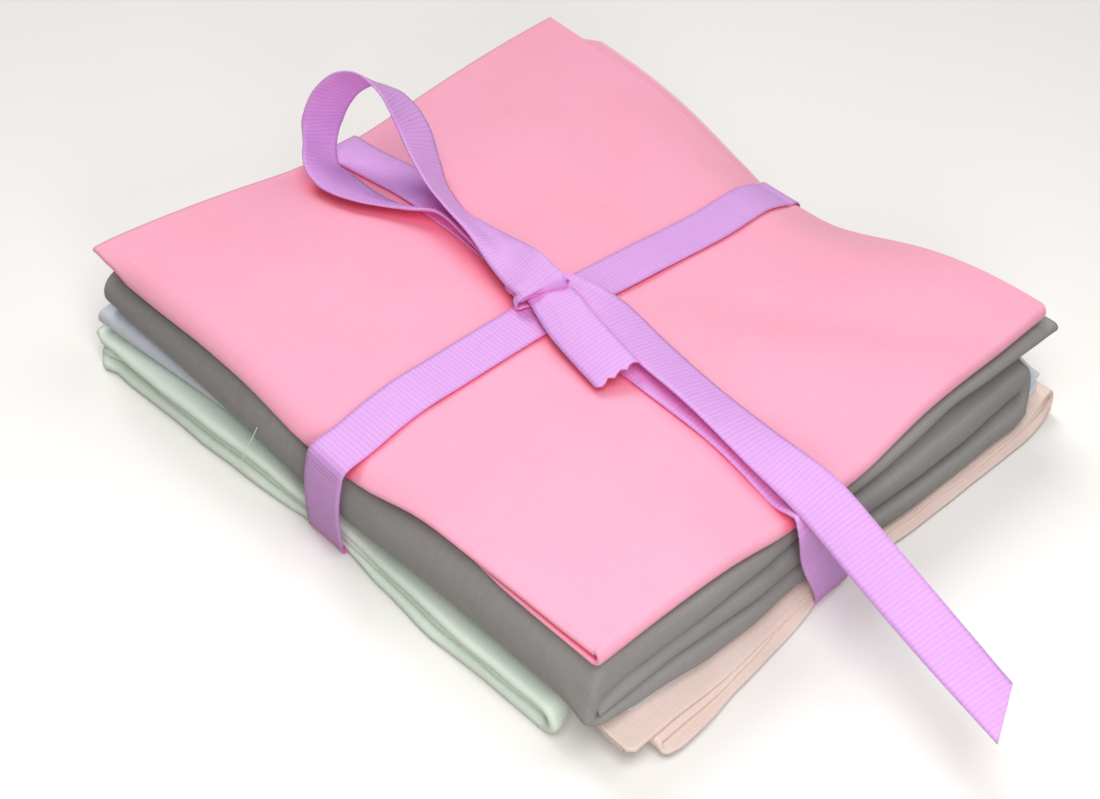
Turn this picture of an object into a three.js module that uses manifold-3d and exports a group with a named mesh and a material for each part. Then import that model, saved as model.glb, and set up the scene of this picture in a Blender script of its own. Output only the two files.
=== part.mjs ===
// A stack of five folded fat quarters, tied crosswise with a ribbed ribbon and a one-loop bow.
// Millimetres, +Z up. The origin is on the table, under the middle of the stack.
// +X runs towards the ribbon's long tail, and +Y to the side where the top cloth's cut edge lies.
import * as THREE from "three";
import { mergeVertices } from "three/addons/utils/BufferGeometryUtils.js";
import Module from "manifold-3d";

const { smoothstep, lerp, clamp } = THREE.MathUtils;
const wasm = await Module();
wasm.setup();

// Height of the stack before the ribbon presses it.
const STACK_HEIGHT = 31.06;
// Room between two layers of one cloth, as a share of the layer's thickness.
const LAYER_GAP_SHARE = 0.17;
// Points on a fold's half circle, and on the rounded side of a layer.
const WRAP_STEPS = 6;
const TUCK_STEPS = 4;
const SIDE_STEPS = 4;

// Lines across the stack on which every layer has its points, and the outermost lines past its sides.
const LINES_X = [-66, -46, -22, -4.5, 10.5, 30, 48, 60, 66, 70.5, 74.5];
const LINES_Y = [-66, -56, -36, -14.5, 5.5, 26, 44, 60];
const OUTER_X = [-80, 90];
const OUTER_Y = [-78, 78];
const LINE_MARGIN = 1.5;

// The cloths from the table up. Each is folded in three along its run, as a letter is: one layer is
// tucked inside, and the wrap side says at which end the outer layer folds over it.
// base is the height of the underside, sheet the thickness of one layer of the packed cloth,
// low and high the ends of the run, skew how far the ends shift for each millimetre across, freeEnd
// how far the outer layer's edge lies inside the folds below it, and drawn how far the ribbon draws
// in the side that it crosses.
const CLOTHS = [
  { name: "fat_quarter_mint", colour: 0xdcefe4, run: "x", wrap: 1, base: 0, sheet: 2.6,
    low: -73.5, high: 70.5, skew: 0, freeEnd: 2, drawn: 0 },
  { name: "fat_quarter_peach", colour: 0xeedcd2, run: "y", wrap: 1, base: 9.2, sheet: 1.05,
    low: -62, high: 68, skew: 0, freeEnd: 1, drawn: 3.4 },
  { name: "fat_quarter_ice", colour: 0xc3cede, run: "y", wrap: -1, base: 13.3, sheet: 1.05,
    low: -66.5, high: 66, skew: 0.084, freeEnd: 1, drawn: 1 },
  { name: "fat_quarter_grey", colour: 0x8d8b8a, run: "y", wrap: -1, base: 17.5, sheet: 2.7,
    low: -71.5, high: 70.5, skew: 0, freeEnd: -2, drawn: 1 },
  { name: "fat_quarter_pink", colour: 0xfdb8d3, run: "x", wrap: 1, base: 27.05, sheet: 1.2,
    low: -76, high: 76.5, skew: 0, freeEnd: 0, drawn: 0 },
];

// Sides of each cloth's layers: the lower and upper limit across the run, at its low and high end.
const SIDES = {
  fat_quarter_mint: {
    bottom: { lowNear: -75, highNear: -71, lowFar: 66, highFar: 67 },
    middle: { lowNear: -73, highNear: -69.5, lowFar: 66.5, highFar: 66 },
    top: { lowNear: -74.2, highNear: -71.5, lowFar: 65, highFar: 66 },
  },
  fat_quarter_peach: {
    bottom: { lowNear: -66, highNear: -66, lowFar: 86, highFar: 84 },
    middle: { lowNear: -65, highNear: -65, lowFar: 83, highFar: 82.5 },
    top: { lowNear: -66, highNear: -66, lowFar: 80.5, highFar: 82 },
  },
  fat_quarter_ice: {
    bottom: { lowNear: -74, highNear: -73, lowFar: 75.5, highFar: 76.5 },
    middle: { lowNear: -73, highNear: -72, lowFar: 74.5, highFar: 75.5 },
    top: { lowNear: -74, highNear: -73, lowFar: 75, highFar: 76 },
  },
  fat_quarter_grey: {
    bottom: { lowNear: -74, highNear: -74, lowFar: 77, highFar: 80 },
    middle: { lowNear: -73, highNear: -73.5, lowFar: 76.5, highFar: 79 },
    top: { lowNear: -73.5, highNear: -73, lowFar: 76, highFar: 77.5 },
  },
  fat_quarter_pink: {
    bottom: { lowNear: -69, highNear: -71.5, lowFar: 69, highFar: 69 },
    middle: { lowNear: -68.5, highNear: -69, lowFar: 74, highFar: 71 },
    top: { lowNear: -70.5, highNear: -69.5, lowFar: 69.5, highFar: 70.5 },
  },
};

// Heights that a level of the flat stack takes where cloths stick out past those below and settle:
// along the right side, and along the front side at its left and right end.
const LEVELS = [
  { flat: 0, right: 0, frontLeft: 0, frontRight: 0 },
  { flat: 8.7, right: 1.2, frontLeft: 8, frontRight: 9.7 },
  { flat: 9.2, right: 1.8, frontLeft: 8.4, frontRight: 10.1 },
  { flat: 12.71, right: 4.8, frontLeft: 8.9, frontRight: 11.1 },
  { flat: 13.3, right: 5.4, frontLeft: 9.3, frontRight: 11.7 },
  { flat: 16.81, right: 7.6, frontLeft: 13.7, frontRight: 12.8 },
  { flat: 17.5, right: 8.2, frontLeft: 14.4, frontRight: 13.5 },
  { flat: 20.2, right: 12.8, frontLeft: 17.3, frontRight: 17.3 },
  { flat: 20.66, right: 13.6, frontLeft: 17.8, frontRight: 17.9 },
  { flat: 23.36, right: 19.2, frontLeft: 20.7, frontRight: 21.6 },
  { flat: 23.82, right: 20.8, frontLeft: 21.2, frontRight: 22.2 },
  { flat: 26.52, right: 25.6, frontLeft: 24, frontRight: 26 },
  { flat: 27.05, right: 26.2, frontLeft: 26.2, frontRight: 26.7 },
  { flat: 31.06, right: 30.4, frontLeft: 31, frontRight: 30.8 },
];
// Where the settling starts and is complete, along X for the right side and along Y for the front.
const RIGHT_START = 63;
const RIGHT_FULL = 77.5;
const FRONT_START = -56;
const FRONT_FULL = -74;
const FRONT_LEFT_END = -76;
const FRONT_RIGHT_END = -16;
// The upper cloths hold their height at the front right corner and settle towards the back.
const FAN_LEVEL = 17;
const FAN_FROM = -76;
const FAN_TO = -18;
const FAN_LEAST = 0.25;

// The ribbon's two bands: where their middle lies, and half the strip that each holds level.
const LONG_BAND_X = 2.6;
const CROSS_BAND_Y = -4.5;
const LONG_BAND_HOLD = 7.5;
const CROSS_BAND_HOLD = 10;
// How deep the ribbon draws in the stack's edges: depth at the edge, spread along it, and where
// across the top the fall begins and ends.
const DRAWN_EDGES = [
  { along: "x", depth: 10.5, spread: 27, start: 28, end: 71 },
  { along: "x", depth: 3.6, spread: 15, start: -50, end: -71 },
  { along: "y", depth: 6.5, spread: 25, start: -40, end: -76 },
  { along: "y", depth: 4.2, spread: 16, start: 50, end: 77 },
];
const MIDDLE_DIP = 1;
const MIDDLE_SPREAD = 14;
const DRAWN_SPREAD = 10;

// The ribbon, its room from the cloth, and the groove that it presses in the lowest cloth.
const RIBBON_COLOUR = 0xe6bbf5;
const RIBBON_WIDTH = 10.5;
const RIBBON_THICK = 1;
const RIBBON_CLEAR = 0.4;
const GROOVE_SIDE_ROOM = 1;
const GROOVE_LENGTH = 240;

// The long band's way down the back, under the stack and up the front.
const LONG_BAND_SIDES = [
  { y: 71, z: 21.6 },
  { y: 74.4, z: 19.6 },
  { y: 74.4, z: 14 },
  { y: 72.2, z: 8 },
  { y: 69.6, z: 2.4 },
  { y: 67.6, z: 0.5 },
  { y: 64, z: 0.5 },
  { y: -70, z: 0.5 },
  { y: -73.6, z: 0.5 },
  { y: -76, z: 1.8 },
  { y: -76.3, z: 7 },
  { y: -74.6, z: 15 },
  { y: -73, z: 23.5 },
  { y: -71.2, z: 27.6 },
];
// Each band lies a little aslant: where its middle is at the ends of its run over the top.
const BAND_RUN = 66;
const LONG_BAND_BACK_X = 1.4;
const LONG_BAND_FRONT_X = 3.4;
// The cross band's way down the right side, under the stack and up the left.
const CROSS_BAND_SIDES = [
  { x: 76.6, z: 27.4 },
  { x: 79.2, z: 25 },
  { x: 81, z: 14 },
  { x: 83.2, z: 5 },
  { x: 83.4, z: 2.4 },
  { x: 81.6, z: 0.5 },
  { x: 78, z: 0.5 },
  { x: -71, z: 0.5 },
  { x: -74.4, z: 0.5 },
  { x: -76, z: 2.4 },
  { x: -76, z: 8 },
  { x: -76, z: 16 },
  { x: -78, z: 20.8 },
  { x: -76.8, z: 25.4 },
];
const CROSS_BAND_LEFT_Y = -1.5;
const CROSS_BAND_RIGHT_Y = -7.5;

// The bow's loop, from the knot up, round and back, with the direction of the ribbon's width.
const LOOP_ROUTE = [
  { x: 3, y: -5, z: 32.6, wx: 0, wy: 1, wz: 0 },
  { x: -8.5, y: -6.8, z: 33.2, wx: 0, wy: 1, wz: -0.1 },
  { x: -18.6, y: -6.7, z: 34, wx: 0, wy: 0.95, wz: -0.3 },
  { x: -27.8, y: -6, z: 35.2, wx: 0, wy: 0.87, wz: -0.5 },
  { x: -36.3, y: -5.2, z: 36.6, wx: 0, wy: 0.87, wz: -0.5 },
  { x: -46.4, y: -2.7, z: 40.3, wx: 0, wy: 0.87, wz: -0.5 },
  { x: -54.8, y: -0.2, z: 44.7, wx: 0, wy: 0.87, wz: -0.5 },
  { x: -61.1, y: 1.1, z: 46.8, wx: 0, wy: 0.87, wz: -0.5 },
  { x: -69, y: 0.3, z: 45.4, wx: 0, wy: 0.87, wz: -0.5 },
  { x: -75.3, y: -2.3, z: 40.8, wx: 0, wy: 0.9, wz: -0.4 },
  { x: -77.6, y: -5.6, z: 35.2, wx: 0, wy: 0.9, wz: -0.4 },
  { x: -75.4, y: -9.4, z: 31.1, wx: 0, wy: 0.9, wz: -0.4 },
  { x: -70.5, y: -12.6, z: 29.7, wx: 0, wy: 0.87, wz: -0.5 },
  { x: -64.5, y: -14.6, z: 29.8, wx: 0, wy: 0.87, wz: -0.5 },
  { x: -56.2, y: -15.4, z: 31.2, wx: 0, wy: 0.87, wz: -0.5 },
  { x: -47.5, y: -14, z: 33, wx: 0, wy: 0.87, wz: -0.5 },
  { x: -38, y: -10.8, z: 33.6, wx: 0, wy: 0.87, wz: -0.5 },
  { x: -28, y: -8.6, z: 33.6, wx: 0, wy: 0.87, wz: -0.5 },
  { x: -16, y: -7.4, z: 32.8, wx: 0, wy: 0.95, wz: -0.2 },
  { x: -3, y: -5.8, z: 31.8, wx: 0, wy: 1, wz: 0 },
];
// The short tail ends just past the knot, and the long one reaches out past the right side.
const SHORT_TAIL_ROUTE = [
  { x: 0, y: -7.6, z: 32.6, wx: 0.28, wy: 0.96, wz: 0 },
  { x: 8, y: -11.4, z: 33.6, wx: 0.28, wy: 0.96, wz: 0 },
  { x: 17, y: -14.2, z: 33.8, wx: 0.28, wy: 0.96, wz: 0 },
  { x: 28.5, y: -17, z: 33.2, wx: 0.28, wy: 0.96, wz: 0 },
];
const LONG_TAIL_ROUTE = [
  { x: 2, y: -3.6, z: 31.6, wx: 0.1, wy: 1, wz: 0 },
  { x: 14, y: -3.8, z: 32.2, wx: 0.1, wy: 1, wz: -0.1 },
  { x: 30, y: -6.2, z: 32.4, wx: 0.1, wy: 1, wz: -0.2 },
  { x: 46, y: -8.3, z: 32.7, wx: 0.1, wy: 1, wz: -0.3 },
  { x: 62, y: -10, z: 31.6, wx: 0.12, wy: 1, wz: -0.2 },
  { x: 77, y: -11, z: 29.6, wx: 0.15, wy: 1, wz: 0.05 },
  { x: 94, y: -13.6, z: 26, wx: 0.16, wy: 1, wz: 0.1 },
  { x: 112, y: -16.4, z: 23, wx: 0.16, wy: 1, wz: 0.1 },
  { x: 133, y: -19.8, z: 21, wx: 0.16, wy: 1, wz: 0.1 },
];
// The long tail's end is cut aslant, this far shorter at its far side.
const TAIL_SLANT = 7.5;
const ROUTE_STEPS_PER_ROW = 2;
// The knot's middle, and its half sizes along, across and up.
const KNOT = { x: 3, y: -5, z: 33, along: 6.5, across: 7.5, up: 2.5 };
const KNOT_SIDES = 12;
const KNOT_RINGS = 8;

const CLOTH_ROUGHNESS = 0.9;
const RIBBON_ROUGHNESS = 0.6;

// One at the strip that a band holds level, falling off on either side of it.
function bandPress(distance, hold, spread) {
  const past = Math.max(Math.abs(distance) - hold, 0) / spread;
  return Math.exp(-past * past);
}

// How far the ribbon presses down the top at a place.
function topDip(x, y) {
  const overLong = bandPress(x - LONG_BAND_X, LONG_BAND_HOLD, MIDDLE_SPREAD);
  const overCross = bandPress(y - CROSS_BAND_Y, CROSS_BAND_HOLD, MIDDLE_SPREAD);
  let dip = MIDDLE_DIP * Math.max(overLong, overCross);
  for (const edge of DRAWN_EDGES) {
    const crossing = edge.along === "x" ? y : x;
    const fall = smoothstep((crossing - edge.start) / (edge.end - edge.start), 0, 1);
    const press = edge.along === "x"
      ? bandPress(x - LONG_BAND_X, LONG_BAND_HOLD, edge.spread)
      : bandPress(y - CROSS_BAND_Y, CROSS_BAND_HOLD, edge.spread);
    dip += edge.depth * fall * press;
  }
  return dip;
}

// The height that a level takes in one column of the table of levels.
function levelIn(column, z) {
  const above = LEVELS.findIndex((row) => row.flat > z);
  const index = above < 0 ? LEVELS.length - 1 : Math.max(above, 1);
  const lower = LEVELS[index - 1];
  const upper = LEVELS[index];
  const share = (z - lower.flat) / (upper.flat - lower.flat);
  return lerp(lower[column], upper[column], share);
}

// The height at which a point of the flat stack comes to lie, where it lies on two of the lines.
function settleOnLines(x, y, z) {
  const rightShare = smoothstep(x, RIGHT_START, RIGHT_FULL);
  const fan = z < FAN_LEVEL ? 1 : lerp(FAN_LEAST, 1, smoothstep(y, FAN_FROM, FAN_TO));
  const frontShare = smoothstep(-y, -FRONT_START, -FRONT_FULL) * (1 - rightShare);
  const towardsRight = smoothstep(x, FRONT_LEFT_END, FRONT_RIGHT_END);
  const frontLevel = lerp(levelIn("frontLeft", z), levelIn("frontRight", z), towardsRight);
  const rightLevel = lerp(z, levelIn("right", z), fan);
  const level = z + rightShare * (rightLevel - z) + frontShare * (frontLevel - z);
  return level * (1 - topDip(x, y) / STACK_HEIGHT);
}

// The lines on either side of a value, and its share of the way between them.
function between(lines, outer, value) {
  const all = [outer[0], ...lines, outer[1]];
  const above = all.findIndex((line) => line >= value);
  const index = above < 0 ? all.length - 1 : Math.max(above, 1);
  const low = all[index - 1];
  const high = all[index];
  return { low, high, share: (value - low) / (high - low) };
}

// The height at which any point comes to lie: straight between the lines, split from the near left
// to the far right corner of each field, so that cloths with unlike outlines keep apart.
function settle(x, y, z) {
  const inX = between(LINES_X, OUTER_X, x);
  const inY = between(LINES_Y, OUTER_Y, y);
  const start = settleOnLines(inX.low, inY.low, z);
  const end = settleOnLines(inX.high, inY.high, z);
  const turnsRight = inX.share > inY.share;
  const corner = turnsRight ? settleOnLines(inX.high, inY.low, z) : settleOnLines(inX.low, inY.high, z);
  const first = Math.max(inX.share, inY.share);
  const second = Math.min(inX.share, inY.share);
  return start + first * (corner - start) + second * (end - corner);
}

// A closed solid from points and triangles, turned so that its faces point out.
function solidGeometry(points, triangles) {
  let volume = 0;
  for (const [a, b, c] of triangles) {
    volume += points[a].dot(new THREE.Vector3().crossVectors(points[b], points[c]));
  }
  const facing = volume < 0 ? triangles.map(([a, b, c]) => [a, c, b]) : triangles;
  const geometry = new THREE.BufferGeometry().setFromPoints(points);
  geometry.setIndex(facing.flat());
  return geometry;
}

// The two triangles of a four-sided face.
function quad(a, b, c, d) {
  return [[a, b, c], [a, c, d]];
}

// The same, split from its near left to its far right corner.
function splitQuad(points, [a, b, c, d]) {
  const span = new THREE.Vector3().subVectors(points[c], points[a]);
  return span.x * span.y > 0 ? quad(a, b, c, d) : quad(b, c, d, a);
}

function toManifold(geometry) {
  const bare = geometry.clone();
  bare.deleteAttribute("normal");
  bare.deleteAttribute("uv");
  const merged = mergeVertices(bare);
  const vertProperties = new Float32Array(merged.attributes.position.array);
  const triVerts = new Uint32Array(merged.index.array);
  return new wasm.Manifold(new wasm.Mesh({ numProp: 3, vertProperties, triVerts }));
}

function fromManifold(solid) {
  const mesh = solid.getMesh();
  const geometry = new THREE.BufferGeometry();
  geometry.setAttribute("position", new THREE.BufferAttribute(mesh.vertProperties, mesh.numProp));
  geometry.setIndex(new THREE.BufferAttribute(mesh.triVerts, 1));
  return geometry;
}

// Stations along a cloth's run: the tucked layer, the tight fold, the bottom layer, the wrapping
// fold and the top layer. turn is the angle of the layer's upper side, and from, to and share say
// between which layers' sides the station lies.
function foldStations(cloth, lines) {
  const half = cloth.sheet / 2;
  const pitch = cloth.sheet * (1 + LAYER_GAP_SHARE);
  const bottomZ = cloth.base + half;
  const wrapRadius = pitch;
  const tuckRadius = pitch / 2;
  const flip = cloth.wrap;
  const wrapEnd = flip > 0 ? cloth.high : cloth.low;
  const tuckEnd = flip > 0 ? cloth.low : cloth.high;
  const wrapCentre = wrapEnd - flip * (half + wrapRadius);
  const tuckCentre = tuckEnd + flip * (half + tuckRadius);
  const freeEnd = tuckEnd + flip * cloth.freeEnd;
  const stations = [];

  const layer = (name, from, to, z, turn) => {
    const least = Math.min(from, to) + LINE_MARGIN;
    const most = Math.max(from, to) - LINE_MARGIN;
    const inner = lines.filter((line) => line > least && line < most);
    const ordered = from < to ? inner : inner.reverse();
    for (const s of [from, ...ordered, to]) {
      const skewed = s === from || s === to;
      stations.push({ s, z, turn, skewed, side: 0, from: name, to: name, share: 0 });
    }
  };
  const fold = (from, to, centre, radius, z, steps, side, startTurn) => {
    for (let step = 1; step < steps; step += 1) {
      const angle = Math.PI * step / steps;
      const height = startTurn > 0 ? Math.cos(angle) : -Math.cos(angle);
      stations.push({
        s: centre + side * radius * Math.sin(angle),
        z: z + radius * height,
        turn: startTurn > 0 ? angle : Math.PI - angle,
        skewed: true, side, from, to, share: step / steps,
      });
    }
  };

  layer("middle", wrapCentre, tuckCentre, bottomZ + pitch, 0);
  fold("middle", "bottom", tuckCentre, tuckRadius, bottomZ + tuckRadius, TUCK_STEPS, -flip, 1);
  layer("bottom", tuckCentre, wrapCentre, bottomZ, Math.PI);
  fold("bottom", "top", wrapCentre, wrapRadius, bottomZ + wrapRadius, WRAP_STEPS, flip, -1);
  layer("top", wrapCentre, freeEnd, bottomZ + 2 * pitch, 0);
  return stations;
}

// The limit across the run of one layer at a place along it.
function sideOf(cloth, layerName, which, s) {
  const row = SIDES[cloth.name][layerName];
  const share = clamp((s - cloth.low) / (cloth.high - cloth.low), 0, 1);
  const press = bandPress(s - CROSS_BAND_Y, CROSS_BAND_HOLD, DRAWN_SPREAD);
  const drawn = which === "Far" ? cloth.drawn * press : 0;
  return lerp(row[`low${which}`], row[`high${which}`], share) - drawn;
}

// One folded cloth: its layer's section is carried along the stations and then settled.
function foldedCloth(cloth) {
  const half = cloth.sheet / 2;
  const runLines = cloth.run === "x" ? LINES_X : LINES_Y;
  const crossLines = cloth.run === "x" ? LINES_Y : LINES_X;
  const stations = foldStations(cloth, runLines);
  const limit = (station, which) => lerp(
    sideOf(cloth, station.from, which, station.s),
    sideOf(cloth, station.to, which, station.s),
    station.share,
  );
  const nearMost = Math.max(...stations.map((station) => limit(station, "Near")));
  const farLeast = Math.min(...stations.map((station) => limit(station, "Far")));
  const room = half + LINE_MARGIN;
  const inner = crossLines.filter((line) => line > nearMost + room && line < farLeast - room);
  const points = [];

  for (const station of stations) {
    const near = limit(station, "Near") + half;
    const far = limit(station, "Far") - half;
    const upper = [near, ...inner, far].map((across) => ({ across, lift: 1 }));
    const lower = [...upper].reverse().map(({ across }) => ({ across, lift: -1 }));
    const rounded = (across, side) => Array.from({ length: SIDE_STEPS - 1 }, (_, step) => {
      const angle = Math.PI * (step + 1) / SIDE_STEPS;
      return { across: across + side * half * Math.sin(angle), lift: side * Math.cos(angle) };
    });
    const section = [...upper, ...rounded(far, 1), ...lower, ...rounded(near, -1)];
    const skew = station.skewed ? cloth.skew : 0;
    for (const { across, lift } of section) {
      const sideways = station.side * Math.sin(station.turn);
      const s = station.s + lift * half * sideways + skew * across;
      const flatZ = station.z + lift * half * Math.cos(station.turn);
      const x = cloth.run === "x" ? s : across;
      const y = cloth.run === "x" ? across : s;
      points.push(new THREE.Vector3(x, y, settle(x, y, flatZ)));
    }
  }
  return sweptSolid(points, stations.length, inner.length + 2);
}

// Joins like sections into one closed body. A section is an upper row, a rounded side, a lower row
// and the other rounded side, with flat ends at both its first and last place.
function sweptSolid(points, sectionCount, rowLength) {
  const ring = points.length / sectionCount;
  const rounded = SIDE_STEPS - 1;
  const triangles = [];
  for (let section = 0; section + 1 < sectionCount; section += 1) {
    const here = section * ring;
    const next = here + ring;
    for (let index = 0; index < ring; index += 1) {
      const after = (index + 1) % ring;
      const corners = [here + index, here + after, next + after, next + index];
      triangles.push(...splitQuad(points, corners));
    }
  }
  const endFace = (start, outward) => {
    const face = [];
    const lowerStart = rowLength + rounded;
    for (let index = 0; index + 1 < rowLength; index += 1) {
      const below = lowerStart + rowLength - 1 - index;
      face.push(...quad(index, below, below - 1, index + 1));
    }
    for (let step = 0; step < rounded; step += 1) {
      face.push([rowLength - 1, rowLength + step + 1, rowLength + step]);
    }
    const corner = lowerStart + rowLength - 1;
    for (let step = 0; step < rounded; step += 1) {
      face.push([corner, (corner + step + 2) % ring, corner + step + 1]);
    }
    return face.map(([a, b, c]) => outward
      ? [start + a, start + b, start + c]
      : [start + a, start + c, start + b]);
  };
  triangles.push(...endFace(0, true), ...endFace((sectionCount - 1) * ring, false));
  return solidGeometry(points, triangles);
}

// A flat strip of ribbon through rows of places and width directions, closed on itself or with ends.
function ribbonStrip(rows, closed, slant = 0) {
  const count = rows.length;
  const at = (index) => rows[closed ? (index + count) % count : clamp(index, 0, count - 1)];
  const points = [];
  for (let index = 0; index < count; index += 1) {
    const along = new THREE.Vector3().subVectors(at(index + 1).place, at(index - 1).place).normalize();
    const width = at(index).across;
    const across = width.clone().addScaledVector(along, -width.dot(along)).normalize();
    const up = new THREE.Vector3().crossVectors(along, across);
    const cut = !closed && index === count - 1 ? slant : 0;
    for (const [side, lift] of [[-1, -1], [1, -1], [1, 1], [-1, 1]]) {
      points.push(at(index).place.clone()
        .addScaledVector(across, side * RIBBON_WIDTH / 2)
        .addScaledVector(up, lift * RIBBON_THICK / 2)
        .addScaledVector(along, -cut * (side + 1) / 2));
    }
  }
  const corners = 4;
  const triangles = [];
  for (let index = 0; index < (closed ? count : count - 1); index += 1) {
    const here = index * corners;
    const next = ((index + 1) % count) * corners;
    for (let corner = 0; corner < corners; corner += 1) {
      const after = (corner + 1) % corners;
      triangles.push(...quad(here + corner, here + after, next + after, next + corner));
    }
  }
  if (!closed) {
    const last = (count - 1) * corners;
    triangles.push(...quad(3, 2, 1, 0), ...quad(last, last + 1, last + 2, last + 3));
  }
  return solidGeometry(points, triangles);
}

// A smooth route through a table's rows.
function routeRows(table) {
  const curve = new THREE.CatmullRomCurve3(table.map(({ x, y, z }) => new THREE.Vector3(x, y, z)));
  const widths = new THREE.CatmullRomCurve3(table.map(({ wx, wy, wz }) => new THREE.Vector3(wx, wy, wz)));
  const steps = (table.length - 1) * ROUTE_STEPS_PER_ROW;
  return Array.from({ length: steps + 1 }, (_, step) => ({
    place: curve.getPoint(step / steps),
    across: widths.getPoint(step / steps).normalize(),
  }));
}

// The height of a band's middle on top of the stack.
function overTop(x, y) {
  return settle(x, y, STACK_HEIGHT) + RIBBON_CLEAR + RIBBON_THICK / 2;
}

function longBand() {
  const across = new THREE.Vector3(1, 0, 0);
  const xAt = (y) => lerp(LONG_BAND_FRONT_X, LONG_BAND_BACK_X, (y + BAND_RUN) / (2 * BAND_RUN));
  const top = LINES_Y.map((y) => ({ y, z: overTop(LONG_BAND_X, y) }));
  const rows = [...top, ...LONG_BAND_SIDES];
  return ribbonStrip(rows.map(({ y, z }) => ({ place: new THREE.Vector3(xAt(y), y, z), across })), true);
}

function crossBand() {
  const across = new THREE.Vector3(0, 1, 0);
  const yAt = (x) => lerp(CROSS_BAND_LEFT_Y, CROSS_BAND_RIGHT_Y, (x + BAND_RUN) / (2 * BAND_RUN));
  const top = LINES_X.map((x) => ({ x, z: overTop(x, CROSS_BAND_Y) }));
  const rows = [...top, ...CROSS_BAND_SIDES];
  return ribbonStrip(rows.map(({ x, z }) => ({ place: new THREE.Vector3(x, yAt(x), z), across })), true);
}

function knot() {
  return new THREE.SphereGeometry(1, KNOT_SIDES, KNOT_RINGS)
    .scale(KNOT.along, KNOT.across, KNOT.up)
    .translate(KNOT.x, KNOT.y, KNOT.z);
}

// The whole ribbon is one length: both bands, the knot, the loop and the two tails.
function tiedRibbon() {
  const pieces = [
    longBand(),
    crossBand(),
    knot(),
    ribbonStrip(routeRows(LOOP_ROUTE), false),
    ribbonStrip(routeRows(SHORT_TAIL_ROUTE), false),
    ribbonStrip(routeRows(LONG_TAIL_ROUTE), false, TAIL_SLANT),
  ];
  const joined = pieces.map(toManifold).reduce((whole, piece) => whole.add(piece));
  return fromManifold(joined);
}

// The lowest cloth, with the two grooves that the ribbon presses in its underside.
function groovedCloth(cloth) {
  const height = 2 * (RIBBON_THICK + RIBBON_CLEAR);
  const width = RIBBON_WIDTH + 2 * GROOVE_SIDE_ROOM;
  const lean = Math.abs(CROSS_BAND_LEFT_Y - CROSS_BAND_RIGHT_Y);
  const longGroove = new THREE.BoxGeometry(width + GROOVE_SIDE_ROOM, GROOVE_LENGTH, height)
    .translate((LONG_BAND_BACK_X + LONG_BAND_FRONT_X) / 2, 0, 0);
  const crossGroove = new THREE.BoxGeometry(GROOVE_LENGTH, width + lean, height)
    .translate(0, CROSS_BAND_Y, 0);
  const pressed = toManifold(foldedCloth(cloth))
    .subtract(toManifold(longGroove))
    .subtract(toManifold(crossGroove));
  return fromManifold(pressed);
}

function namedMesh(name, geometry, colour, roughness) {
  const material = new THREE.MeshStandardMaterial({ color: colour, roughness, metalness: 0 });
  const mesh = new THREE.Mesh(geometry, material);
  mesh.name = name;
  return mesh;
}

const stack = new THREE.Group();
CLOTHS.forEach((cloth, index) => {
  const geometry = index === 0 ? groovedCloth(cloth) : foldedCloth(cloth);
  stack.add(namedMesh(cloth.name, geometry, cloth.colour, CLOTH_ROUGHNESS));
});
stack.add(namedMesh("ribbon", tiedRibbon(), RIBBON_COLOUR, RIBBON_ROUGHNESS));

export default stack;
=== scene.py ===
import math

import bpy
import numpy as np
from mathutils import Matrix, Vector


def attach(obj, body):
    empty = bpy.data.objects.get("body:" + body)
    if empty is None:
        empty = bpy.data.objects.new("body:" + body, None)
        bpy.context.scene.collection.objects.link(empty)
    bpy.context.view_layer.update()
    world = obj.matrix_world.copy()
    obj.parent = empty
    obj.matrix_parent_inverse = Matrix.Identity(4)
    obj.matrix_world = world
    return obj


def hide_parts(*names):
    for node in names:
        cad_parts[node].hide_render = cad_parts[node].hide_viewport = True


# A tied stack of folded fat quarters. Places are in millimetres and become metres in the mesh.
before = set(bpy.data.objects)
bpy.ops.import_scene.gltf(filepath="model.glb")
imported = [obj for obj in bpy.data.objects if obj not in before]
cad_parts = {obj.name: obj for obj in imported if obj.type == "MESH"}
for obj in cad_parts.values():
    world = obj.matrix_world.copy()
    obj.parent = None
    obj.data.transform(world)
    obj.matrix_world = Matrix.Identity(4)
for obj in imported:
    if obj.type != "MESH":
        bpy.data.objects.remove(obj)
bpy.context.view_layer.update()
mm = 0.001
print("frame loaded:", sorted(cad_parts))


# How the flat stack settles: cloths that reach past those below sink, and the ribbon draws the edges down.
settling = {
    "height": 31.06,
    "rightFrom": 66.5, "rightTo": 78.0,
    "frontFrom": 56.0, "frontTo": 74.0,
    "frontLeftEnd": -76.0, "frontRightEnd": -16.0,
    "longBandX": 3.6, "crossBandY": -4.5,
    "middleDip": 1.0, "middleHold": 8.0, "middleSpread": 14.0,
    "drawnHold": 10.0, "drawnSpread": 10.0,
    "underLift": 0.85, "underHold": 7.0, "underSpread": 4.0, "underHeight": 8.7,
}
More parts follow.
